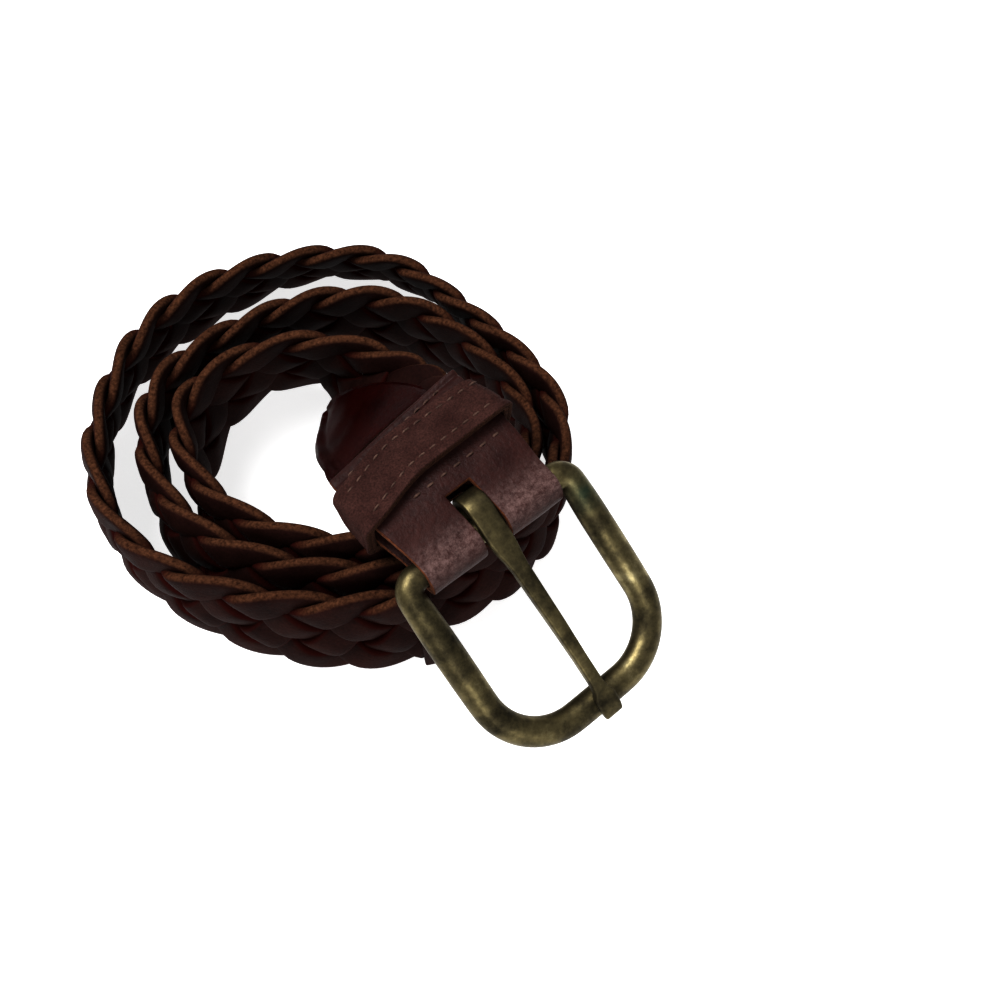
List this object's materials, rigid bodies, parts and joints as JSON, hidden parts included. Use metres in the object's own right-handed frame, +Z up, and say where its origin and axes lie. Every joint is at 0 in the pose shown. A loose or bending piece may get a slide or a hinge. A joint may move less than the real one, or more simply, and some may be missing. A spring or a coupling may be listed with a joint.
{
  "type": "braided belt",
  "caption": "Braided leather belt rolled on edge, its leather tab, keeper loop and brass frame buckle with a prong lying over the roll.",
  "frame": {"origin": "centre of the object's box at the ground it stands on", "axes": "+Z up, the buckle points to -Y and its bar runs along X"},
  "size_m": [0.1112, 0.1556, 0.0554],
  "materials": {
    "braid_leather": "matt dark brown, cut edges reddish tan",
    "tab_leather": "grained oxblood brown, soft sheen",
    "panel_leather": "glossy dark red brown",
    "keeper_leather": "matt brown, fuzzy cut edges",
    "brass": "dull antique brass with dark patina"
  },
  "bodies": {
    "strap": {"braided_strap": "braid_leather", "tip_binding": "tab_leather", "tab_leather": "tab_leather", "tongue_panel": "panel_leather", "keeper_loop": "keeper_leather"},
    "frame": {"buckle_frame": "brass"},
    "prong": {"prong": "brass"}
  },
  "joints": [
    {"name": "frame_hinge", "type": "hinge", "parent": "strap", "child": "frame", "pos_m": [0.0071, -0.0365, 0.043], "axis": [-1, 0, 0], "range_deg": [-18, 60]},
    {"name": "prong_hinge", "type": "hinge", "parent": "frame", "child": "prong", "pos_m": [0.0071, -0.0365, 0.043], "axis": [-1, 0, 0], "range_deg": [0, 75]}
  ]
}
